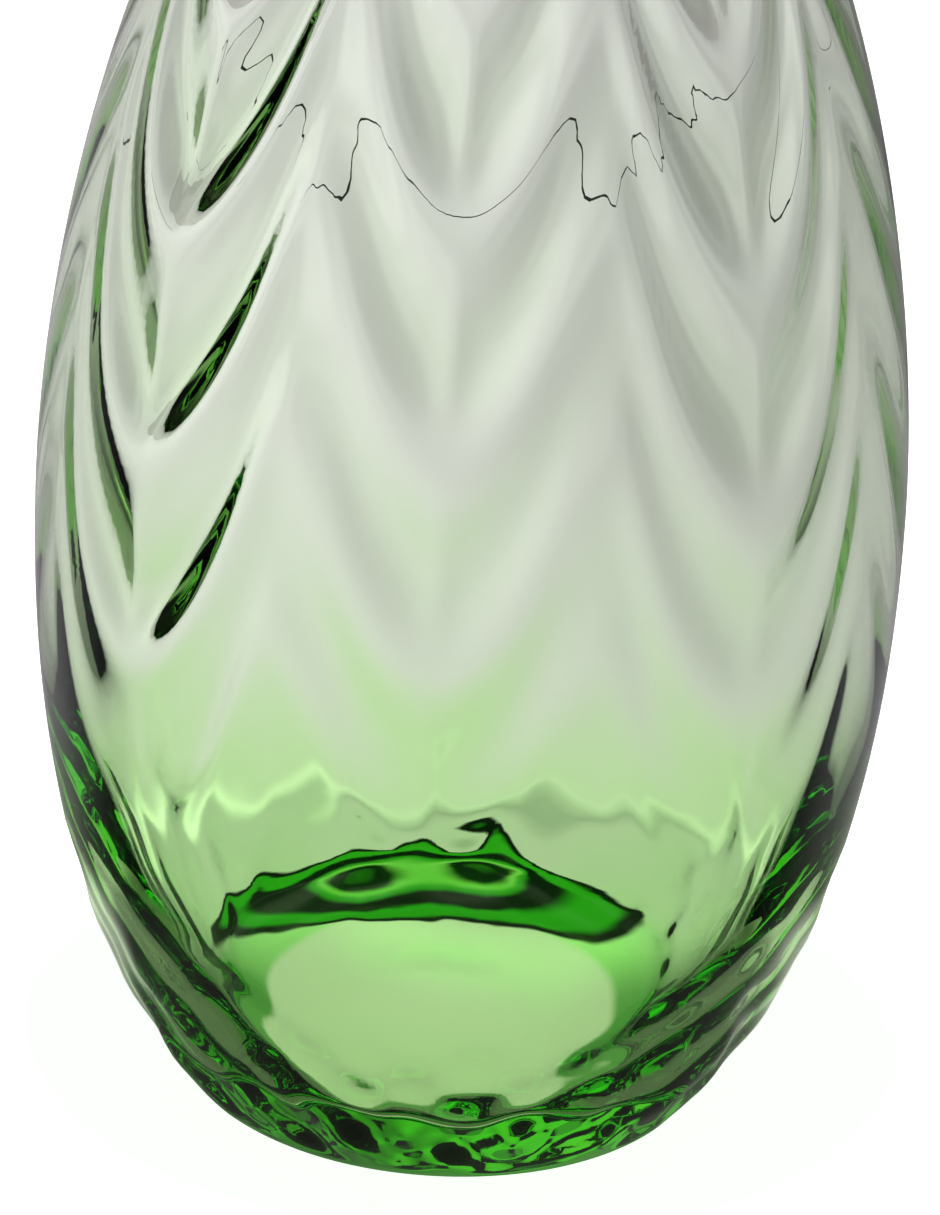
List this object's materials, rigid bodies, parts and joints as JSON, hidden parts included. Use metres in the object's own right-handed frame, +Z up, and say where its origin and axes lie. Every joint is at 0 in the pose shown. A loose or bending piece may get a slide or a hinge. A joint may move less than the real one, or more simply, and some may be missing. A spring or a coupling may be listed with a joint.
{
  "type": "glass carboy",
  "caption": "Ovoid pale-green glass carboy with a lobed, inside-ribbed wall and thick base, closed by a drilled rubber bung that carries a float airlock with a vented snap cap.",
  "frame": {"origin": "centre of the foot ring, on the surface that the carboy stands on", "axes": "+Z up along the vessel's axis, -Y towards the side that the picture shows"},
  "size_m": [0.1598, 0.1598, 0.396],
  "materials": {
    "green_glass": "fire-polished, pale green, deeper green where thick",
    "natural_rubber": "matte moulded rubber",
    "clear_plastic": "clear moulded plastic",
    "clear_float_plastic": "clear moulded plastic",
    "white_plastic": "satin moulded plastic"
  },
  "bodies": {
    "vessel": {"glass_body": "green_glass"},
    "stopper": {"bung": "natural_rubber"},
    "airlock": {"airlock_body": "clear_plastic"},
    "float": {"airlock_float": "clear_float_plastic"},
    "cap": {"airlock_cap": "white_plastic"}
  },
  "joints": [
    {"name": "bung_lift", "type": "slide", "parent": "vessel", "child": "stopper", "axis": [0, 0, 1], "range_m": [0, 0.06]},
    {"name": "airlock_lift", "type": "slide", "parent": "stopper", "child": "airlock", "axis": [0, 0, 1], "range_m": [0, 0.05]},
    {"name": "float_rise", "type": "slide", "parent": "airlock", "child": "float", "axis": [0, 0, 1], "range_m": [0, 0.007]},
    {"name": "cap_lift", "type": "slide", "parent": "airlock", "child": "cap", "axis": [0, 0, 1], "range_m": [0, 0.03]}
  ]
}
